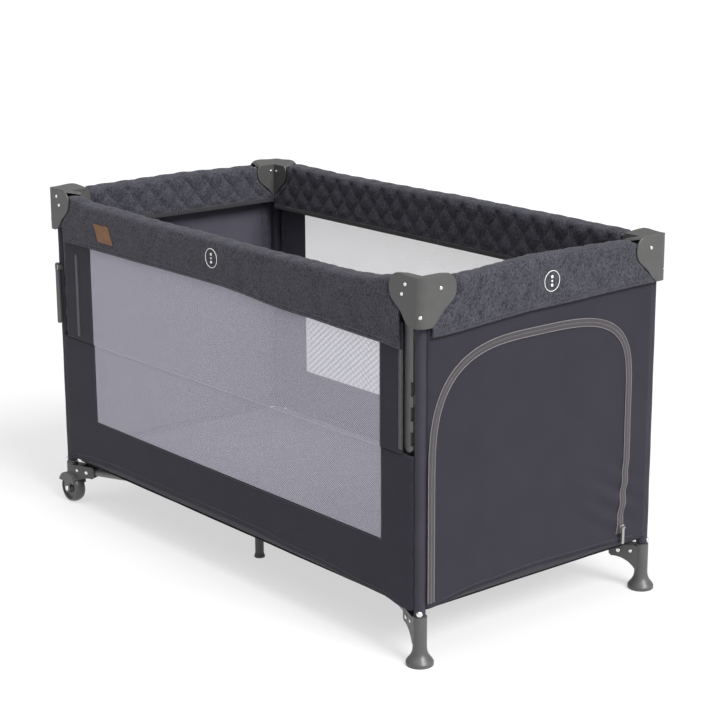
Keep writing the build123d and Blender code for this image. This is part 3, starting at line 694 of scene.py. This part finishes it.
def ring_mark(side, x, z, sign):
    """A plain stitched ring with a few dots, on the outside of a cover."""
    on_rail(sewn_circle(f"ring_{side}", side, x, z, RING_RADIUS, 0.0013, 97), side, sign)
    for i, (dx, dz, size) in enumerate(RING_DOTS):
        dot = sewn_circle(f"ring_dot_{side}_{i}", side, x + dx, z + dz, size * 0.5, size * 0.9, 25)
        on_rail(dot, side, sign)


def leaning(x, z):
    """A place on the tag, moved along with the tag's lean."""
    return x + TAG_LEAN * (TAG_Z[1] - z) / (TAG_Z[1] - TAG_Z[0])


def tag():
    """Leather tag sewn to the front cover."""
    (x0, x1), (z0, z1) = TAG_X, TAG_Z
    gx, gz = np.meshgrid(np.linspace(x0, x1, 24), np.linspace(z0, z1, 18))
    edge = np.minimum(np.minimum(gx - x0, x1 - gx), np.minimum(gz - z0, z1 - gz))
    rise = 0.0024 + 0.0006 * np.clip(edge / 0.003, 0, 1)
    points = to_world("front", leaning(gx, gz), -COVER_OUT - rise, gz)
    on_rail(sheet_object("leather_tag", points, MATERIALS["leather"], 0.0014), "front", -1)
    x0, x1, z0, z1 = x0 + TAG_INSET, x1 - TAG_INSET, z0 + TAG_INSET, z1 - TAG_INSET
    corners = [(x0, z0), (x1, z0), (x1, z1), (x0, z1)]
    for i, (start, end) in enumerate(zip(corners, corners[1:] + corners[:1])):
        line_x, line_z = np.linspace(start[0], end[0], 30), np.linspace(start[1], end[1], 30)
        path = to_world("front", leaning(line_x, line_z), -COVER_OUT - 0.0036, line_z)
        line = dashes(f"tag_stitch_{i}", path, (0, -1, 0), *TAG_STITCH, MATERIALS["thread"])
        on_rail(line, "front", -1)


# ---- side panels -----------------------------------------
def panel_surface(side, x, z):
    """How far inward the panel's cloth is, in side axes, with its slack and wrinkles."""
    half = SIDES[side][2]
    slack = (0.0007 if side == "front" else 0.0012) * ripple(x * 1.2, z * 1.4, 2.1 + half)
    near_post = np.exp(-(((half - np.abs(x)) - 0.014) / 0.020) ** 2)
    depth = {"front": 0.0006, "right": 0.0002}.get(side, 0.0010)
    pucker = depth * near_post * np.sin(z * 190 + 2 * np.sin(z * 23))
    return PANEL_Y + slack * np.clip((half - np.abs(x)) / 0.12, 0.1, 1) + pucker


def tuck(half, x):
    """The cloth's edge rolls in behind the post's sleeve."""
    gap = half - np.abs(x)
    return 0.0050 * np.clip((0.016 - gap) / 0.0115, 0, 1) ** 2


def panel_rows(side, x, levels):
    """Grid of a panel's points between heights. Each level is a number, or hem for the lower edge."""
    hem = ease(x, PANEL_HEM[side])
    rows = []
    for a, b, steps in levels:
        low = hem if a == "hem" else a
        for t in np.linspace(0, 1, steps + 1)[(1 if rows else 0):]:
            rows.append(np.broadcast_to(low + (b - low) * t, x.shape))
    z = np.stack(rows, 0)
    gx = np.broadcast_to(x, z.shape)
    y = panel_surface(side, gx, z) + tuck(SIDES[side][2], gx)
    return gx, y, z


def skirt(side, x):
    """Cloth that turns in from a panel's hem to the floor cloth."""
    hem = ease(x, PANEL_HEM[side])
    rows = []
    for t in np.linspace(0, 1, 8):
        y = PANEL_Y + (SKIRT_DEPTH - PANEL_Y) * t
        z = hem + (FLOOR_TOP - hem) * (1 - (1 - t) ** 1.6)
        rows.append(to_world(side, x, y + panel_surface(side, x, hem) - PANEL_Y, z))
    return np.stack(rows, 0)


def solid_panel(side):
    """End panel of plain cloth."""
    reach = SIDES[side][2] - SLEEVE_GAP
    x = np.linspace(-reach, reach, 150)
    gx, y, z = panel_rows(side, x, [("hem", CASTING_LOW + 0.006, 110)])
    if side == "right":
        y = y + door_dent(gx, z)
    points = to_world(side, gx, y, z)
    return sheet_object(f"panel_{side}_cloth", points, MATERIALS["panel"], inner=MATERIALS["inside_painted_light"])


def side_x(low, high, marks, step=0.006):
    """Places along a side with exact stops at the marks."""
    stops = sorted([low, high, *marks])
    parts = [np.linspace(a, b, max(2, int((b - a) / step)) + 1)[:-1] for a, b in zip(stops, stops[1:])]
    return np.concatenate([*parts, [high]])


def windowed(side, name, low, high, levels, window, extra=0.0):
    """Panel cloth with a net window, as two sheets: the cloth and the net."""
    x = side_x(low, high, window)
    gx, y, z = panel_rows(side, x, levels)
    y = y - extra
    points = to_world(side, gx, y, z)
    mid_x = (gx[:-1, :-1] + gx[:-1, 1:]) / 2
    mid_z = (z[:-1, :-1] + z[1:, :-1]) / 2
    open_cell = (mid_x > window[0]) & (mid_x < window[1]) & (mid_z > NET_LOW)
    # the back window takes the lighter net, painted light for its shaded side
    inner, netting = MATERIALS["inside_painted_light"], MATERIALS["net_back_painted_light" if side == "back" else "net"]
    # the inner side of the cloth gets the lighter painted-light copy of the panel cloth
    cloth = sheet_object(f"{name}_cloth", points, MATERIALS["panel"], keep=~open_cell, inner=inner)
    return cloth, sheet_object(f"{name}_net", points, netting, 0, keep=open_cell)


HEM_ROWS = ("hem", NET_LOW, 22)


def wide_panel(side, name, window, high, rows, node):
    """A long side's panel from the hem to a height, with its window."""
    reach = POST_X - SLEEVE_GAP
    levels = [HEM_ROWS, (NET_LOW, high, rows)]
    cloth, net = windowed(side, name, -reach, reach, levels, window)
    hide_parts(node)
    for piece in (cloth, net):
        on_side(piece, side)


def dropping_panel(sign, half_name):
    """Half of the front panel above its seam, which drops with the rail."""
    low, high = sorted((0.0, sign * (POST_X - 0.031)))
    window = sorted((0.0, FRONT_NET[1] if sign > 0 else FRONT_NET[0]))
    levels = [(SEAM_Z, NET_HIGH, 44)]
    cloth, net = windowed("front", f"panel_front_upper_{half_name}", low, high, levels, window, UPPER_OUT)
    for piece in (cloth, net):
        on_rail(piece, "front", sign)


def gusset(corner, sign):
    """Cloth between a front post and the drop side, behind the guide strip."""
    t = np.linspace(0, 1, 16)
    z = np.linspace(SEAM_Z - 0.012, CASTING_LOW - 0.002, 60)
    gt, gz = np.meshgrid(t, z)
    x = sign * (POST_X - 0.0085 - GUSSET * gt)
    y = 0.0085 + 0.0065 * np.sin(gt * math.pi / 2) + 0.0007 * ripple(x * 4, gz * 3, 2.7)
    piece = sheet_object(f"gusset_{corner}", to_world("front", x, y, gz), MATERIALS["binding"])
    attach(piece, corner)
    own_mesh(piece)


def build_panels():
    """Cloth and nets of the four sides, the gussets of the drop side and the skirts under the panels."""
    wide_panel("front", "panel_front_lower", FRONT_NET, SEAM_Z, 34, "panel_front")
    for sign, half_name in HALVES["front"].items():
        dropping_panel(sign, half_name)
    wide_panel("back", "panel_back", BACK_NET, NET_HIGH, 80, "panel_back")
    for side in ("right", "left"):
        cloth = on_side(solid_panel(side), side)
        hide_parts(f"panel_{side}")
    for corner, sign in (("front_right", 1), ("front_left", -1)):
        gusset(corner, sign)
    for side in SIDES:
        reach = SIDES[side][2] - SKIRT_END
        points = skirt(side, np.linspace(-reach, reach, 90))
        piece = on_side(sheet_object(f"skirt_{side}", points, MATERIALS["panel"]), side)


def ruche():
    """Gathered strip down the inner side of the left panel's back edge."""
    z = np.linspace(0.145, 0.632, 90)
    x = np.full_like(z, -(POST_Y - RUCHE_X))
    y = panel_surface("left", x, z) + CLOTH / 2
    inward = turned("left", 0, 1, 0)
    path = to_world("left", x, y, z)
    # the gathered strip is on the inside and takes the same painted-light inner cloth
    on_side(ribbon("ruche_band", path, inward, 0.015, 0.0016, MATERIALS["inside_painted_light"]), "left")
    on_side(dashes("ruche_folds", path, inward, *RUCHE_FOLD, MATERIALS["inside_painted_light"], lift=0.0012), "left")


def sew(name, side, x, z):
    """A line of stitches on the outside of a panel."""
    y = panel_surface(side, x, z) + tuck(SIDES[side][2], x) - 0.0009
    y = y - (UPPER_OUT if side == "front" and np.min(z) >= SEAM_Z else 0.0)
    path = to_world(side, x, y, z)
    return dashes(name, path, turned(side, 0, -1, 0), *SEAM_STITCH, MATERIALS["thread"])


def edge_seams():
    """Stitch lines beside the windows and above the hems."""
    for side in SIDES:
        reach = SIDES[side][2] - 0.045
        x = np.linspace(-reach, reach, 120)
        on_side(sew(f"hem_{side}", side, x, ease(x, PANEL_HEM[side]) + 0.008), side)
    for side, window in (("front", FRONT_NET), ("back", BACK_NET)):
        x = np.linspace(window[0], window[1], 120)
        on_side(sew(f"net_seam_{side}", side, x, np.full_like(x, NET_LOW - 0.003)), side)
        z = np.linspace(NET_LOW, SEAM_Z if side == "front" else 0.62, 60)
        for i, place in enumerate((window[0] - 0.003, window[1] + 0.003)):
            on_side(sew(f"net_edge_{side}_{i}", side, np.full_like(z, place), z), side)
    z = np.linspace(SEAM_Z + 0.001, 0.62, 50)
    for sign, half_name in HALVES["front"].items():
        place = FRONT_NET[1] + 0.003 if sign > 0 else FRONT_NET[0] - 0.003
        line = sew(f"net_edge_upper_{half_name}", "front", np.full_like(z, place), z)
        on_rail(line, "front", sign)


# ---- zips ------------------------------------------------
def zip_run(name, path, outward, width, pale_edges=True):
    """The pieces of a zip along a path: tape, teeth and the pale lines of its edges."""
    made = [ribbon(f"{name}_tape", path, outward, width, 0.0009, MATERIALS["zip_tape"], lift=-0.0002)]
    made.append(dashes(f"{name}_teeth", path, outward, *ZIP_TOOTH, MATERIALS["zip_teeth"]))
    if pale_edges:
        _, across, _ = frames_along(path, outward)
        for i, share in enumerate((-0.46, 0.46)):
            edge = path + across * (share * width)
            made.append(ribbon(f"{name}_edge_{i}", edge, outward, 0.0013, 0.0012, MATERIALS["pale_thread"]))
    return made


DOOR_MIDDLE, DOOR_HALF, DOOR_TOP = -0.0285, 0.2585, 0.598
DOOR_ZIP, SIDE_ZIP = 0.0165, 0.0105  # widths of the tapes
SIDE_ZIPS = {"right": (0.5760, 1), "left": (-0.530, -1)}  # place along the front and half of the rail


def door_line(samples=260):
    """Middle line of the door zip in side axes: two legs and an arch with a squarer right shoulder."""
    turn = np.linspace(math.pi, 0, samples)
    c, s = np.cos(turn), np.sin(turn)
    power = np.where(c < 0, 3.1, 3.5)
    spring = np.where(c < 0, 0.350, 0.430)
    x = DOOR_MIDDLE + DOOR_HALF * np.sign(c) * np.abs(c) ** (2 / power)
    z = spring + (DOOR_TOP - spring) * np.abs(s) ** (2 / power)
    left_z = np.linspace(0.122, 0.345, 40)
    right_z = np.linspace(0.425, 0.140, 50)
    lean = 0.014 * np.clip((0.310 - right_z) / 0.165, 0, 1) ** 1.5
    x = np.concatenate([np.full(40, DOOR_MIDDLE - DOOR_HALF), x, DOOR_MIDDLE + DOOR_HALF - lean])
    return x, np.concatenate([left_z, z, right_z])


def door_dent(x, z):
    """The door panel sits a little back inside its zip, and the cloth creases near the zip's end."""
    dx = np.abs(x - DOOR_MIDDLE) / DOOR_HALF
    dz = np.clip((z - 0.36) / (DOOR_TOP - 0.36), 0, 2)
    inside = np.clip((1.0 - (dx**3 + dz**3) ** (1 / 3)) / 0.06, 0, 1)
    foot = np.exp(-((x - 0.20) ** 2 + (z - 0.21) ** 2) / 0.006)
    crease = 0.0022 * foot * np.sin((x * 0.55 + z * 1.0) * 130)
    return 0.0012 * inside + crease


def build_zips():
    """The door's zip in the right panel and the two side zips of the drop side."""
    x, z = door_line()
    y = panel_surface("right", x, z) + door_dent(x, z) - 0.0009
    path = resample(to_world("right", x, y, z), 0.004)
    for piece in zip_run("door_zip", path, (1, 0, 0), DOOR_ZIP):
        on_side(piece, "right")
    for name, (place, sign) in SIDE_ZIPS.items():
        z = np.linspace(0.600, 0.414, 70)
        x = np.full_like(z, place)
        y = panel_surface("front", x, z) - UPPER_OUT - 0.0010
        path = to_world("front", x, y, z)
        for piece in zip_run(f"side_zip_{name}", path, (0, -1, 0), SIDE_ZIP, pale_edges=False):
            on_rail(piece, "front", sign)


# ---- post sleeves ----------------------------------------
SLEEVE_LOW = {"front_right": 0.098, "front_left": 0.100, "back_right": 0.098, "back_left": 0.100}


def build_sleeves():
    """Cloth sleeves round the posts, with a seam on the inner side."""
    for corner, (sx, sy) in CORNERS.items():
        z = np.linspace(SLEEVE_LOW[corner], CASTING_LOW + 0.004, 150)
        turn = np.linspace(0, 2 * math.pi, 33)[:-1]
        gz, gt = np.meshgrid(z, turn, indexing="xy")
        wave = ripple(gz * 4 + gt * 0.12, gz * 9, 3.0 + sx + 2 * sy)
        radius = POST_RADIUS + 0.0013 + 0.0004 * wave
        seam = np.exp(-(((gt - math.atan2(-sy, -sx)) % (2 * math.pi)) / 0.14) ** 2)
        radius = radius + 0.0012 * seam
        points = np.stack([sx * POST_X + radius * np.cos(gt), sy * POST_Y + radius * np.sin(gt), gz], -1)
        faces = grid_faces(*points.shape[:2], loop_rows=True)
        # the sleeve cloth is painted lighter than the panels, a painted highlight
        piece = tidy(mesh_object(f"sleeve_{corner}", points, faces, MATERIALS["sleeve"]))
        solid = piece.modifiers.new("thickness", "SOLIDIFY")
        solid.thickness, solid.offset = SLEEVE_THICK, -1
        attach(piece, corner)


def gather(piece, body):
    """A tile of the mattress or floor, carried by a body of the frame."""
    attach(piece, body)
    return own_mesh(piece)


def mattress_plan(half_x, half_y, cells):
    """Grid of the mattress seen from above, with round corners, and each point's distance from the edge."""
    x = np.linspace(-half_x, half_x, TILES[0] * cells[0] + 1)
    y = np.linspace(-half_y, half_y, TILES[1] * cells[1] + 1)
    x[1], x[-2] = -half_x + 0.003, half_x - 0.003
    y[1], y[-2] = -half_y + 0.003, half_y - 0.003
    gx, gy = np.meshgrid(x, y, indexing="ij")
    straight_x, straight_y = half_x - MATTRESS_CORNER, half_y - MATTRESS_CORNER
    qx, qy = np.abs(gx) - straight_x, np.abs(gy) - straight_y
    both = (qx > 0) & (qy > 0)
    shrink = np.where(both, np.maximum(qx, qy) / np.maximum(np.hypot(qx, qy), 1e-9), 1.0)
    px = np.where(both, np.sign(gx) * (straight_x + qx * shrink), gx)
    py = np.where(both, np.sign(gy) * (straight_y + qy * shrink), gy)
    edge = np.minimum(half_x - np.abs(gx), half_y - np.abs(gy))
    edge = np.where(both, MATTRESS_CORNER - np.maximum(qx, qy), edge)
    return gx, gy, px, py, edge


def mattress_height(gx, gy, edge, half_x, thick):
    """Half thickness of the mattress: round edges, seams between its sections and soft crowns."""
    section = 2 * half_x / SECTIONS
    side = np.sqrt(np.clip(1 - (1 - np.clip(edge / 0.016, 0, 1)) ** 2, 0, 1))
    to_seam = np.abs((gx / section) - np.round(gx / section)) * section
    seam = np.where(np.abs(gx) < half_x - 0.1, np.exp(-((to_seam / 0.006) ** 2)), 0)
    crown = 0.0016 * ripple(gx * 2, gy * 2, 4.4)
    return side * (thick - 0.0035 - 0.0075 * seam) + side * crown


def build_mattress():
    """Folding mattress in sections, in tiles."""
    low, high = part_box("mattress")
    half_x, half_y = (high.x - low.x) / 2, (high.y - low.y) / 2
    mid_z, thick = (low.z + high.z) / 2, (high.z - low.z) / 2
    cells = (13, 10)
    gx, gy, px, py, edge = mattress_plan(half_x, half_y, cells)
    height = mattress_height(gx, gy, edge, half_x, thick)
    for i, j in np.ndindex(*TILES):
        cut = tuple(slice(k * n, (k + 1) * n + 1) for k, n in zip((i, j), cells))
        top = np.stack([px[cut], py[cut], mid_z + height[cut]], -1)
        base = np.stack([px[cut], py[cut], mid_z - np.minimum(height[cut], thick)], -1)
        faces = grid_faces(*top.shape[:2])
        faces = np.vstack([faces, faces[:, ::-1] + top.shape[0] * top.shape[1]])
        points = np.concatenate([top.reshape(-1, 3), base.reshape(-1, 3)])
        piece = mesh_object(f"mattress_{i}_{j}", points, faces, MATERIALS["mattress"])
        tidy(piece, weld=1e-5, outward=False)
        gather(piece, "mattress")
        if i == j == 0:
            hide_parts("mattress")


def build_floor_cloth():
    """Floor cloth under the mattress, in tiles."""
    low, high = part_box("floor_cloth")
    step_x, step_y = (high.x - low.x) / TILES[0], (high.y - low.y) / TILES[1]
    for i, j in np.ndindex(*TILES):
        x = np.linspace(low.x + i * step_x, low.x + (i + 1) * step_x, 10)
        y = np.linspace(low.y + j * step_y, low.y + (j + 1) * step_y, 8)
        gx, gy = np.meshgrid(x, y, indexing="ij")
        z = (low.z + high.z) / 2 + 0.0005 * ripple(gx * 3, gy * 3, 5.0)
        points = np.stack([gx, gy, z], -1)
        piece = sheet_object(f"floor_cloth_{i}_{j}", points, MATERIALS["floor"], 0.0010)
        gather(piece, "front_right")
        if i == j == 0:
            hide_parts("floor_cloth")


# ---- stage, light and camera -----------------------------
def build_stage():
    """Plain pale floor."""
    x = np.linspace(-60, 60, 13)
    gx, gy = np.meshgrid(x, x, indexing="ij")
    s = Shader("stage_paper", Roughness=0.9, Specular_IOR_Level=0.1, Emission_Strength=0.60)
    s.put("Base Color", s.mix(s.noise(6, 2.0), (0.27, 0.27, 0.27), (0.285, 0.285, 0.285)))
    s.shader.inputs["Emission Color"].default_value = (1, 1, 1, 1)
    floor = mesh_object("floor", np.stack([gx, gy, gx * 0], -1), grid_faces(13, 13), s.done())


def sun_light(name, strength, softness, direction):
    """A sun with a softness in degrees that shines along a direction."""
    sun = bpy.data.lights.new(name, "SUN")
    sun.energy, sun.angle = strength, math.radians(softness)
    lamp = bpy.data.objects.new(name, sun)
    lamp.rotation_mode = "QUATERNION"
    lamp.rotation_quaternion = Vector(direction).to_track_quat("-Z", "Y")
    bpy.context.scene.collection.objects.link(lamp)


def build_lights():
    """White surroundings, a soft key light from the +X side and a weak one from above."""
    world = bpy.data.worlds.new("studio")
    bpy.context.scene.world = world
    world.use_nodes = True
    background = world.node_tree.nodes["Background"].inputs
    background["Color"].default_value = (1, 1, 1, 1)
    background["Strength"].default_value = 0.42
    sun_light("key", 4.3, 28, (-1.0, -0.02, -0.92))
    sun_light("top", 1.2, 50, (-0.10, 0.30, -1.0))
    bpy.context.scene.view_settings.view_transform = "Standard"


CAMERA_PLACE = (3.098, -2.4867, 1.4595)
CAMERA_TURN = (50.56, 14.79, -0.24)  # azimuth, elevation and roll, in degrees
CAMERA_LENS = 95.92
CAMERA_SENSOR = 36.0


def build_camera():
    """Camera in front of the near right corner."""
    azimuth, elevation, roll = (math.radians(v) for v in CAMERA_TURN)
    level = math.cos(elevation)
    back = Vector((math.sin(azimuth) * level, -math.cos(azimuth) * level, math.sin(elevation)))
    right = Vector((math.cos(azimuth), math.sin(azimuth), 0))
    up = back.cross(right)
    tilted_right = right * math.cos(roll) + up * math.sin(roll)
    tilted_up = up * math.cos(roll) - right * math.sin(roll)
    data = bpy.data.cameras.new("camera")
    data.lens, data.sensor_width = CAMERA_LENS, CAMERA_SENSOR
    camera = bpy.data.objects.new("camera", data)
    turn = Matrix((tilted_right, tilted_up, back)).transposed().to_4x4()
    camera.matrix_world = Matrix.Translation(CAMERA_PLACE) @ turn
    bpy.context.scene.collection.objects.link(camera)
    bpy.context.scene.camera = camera


# ---- build -----------------------------------------------
paint_nodes()
build_camera()
build_stage()
build_lights()
build_covers()
for marked_side, ring_place in RINGS.items():
    ring_mark(marked_side, *ring_place, 1)
tag()
build_panels()
edge_seams()
ruche()
build_zips()
build_sleeves()
build_mattress()
build_floor_cloth()
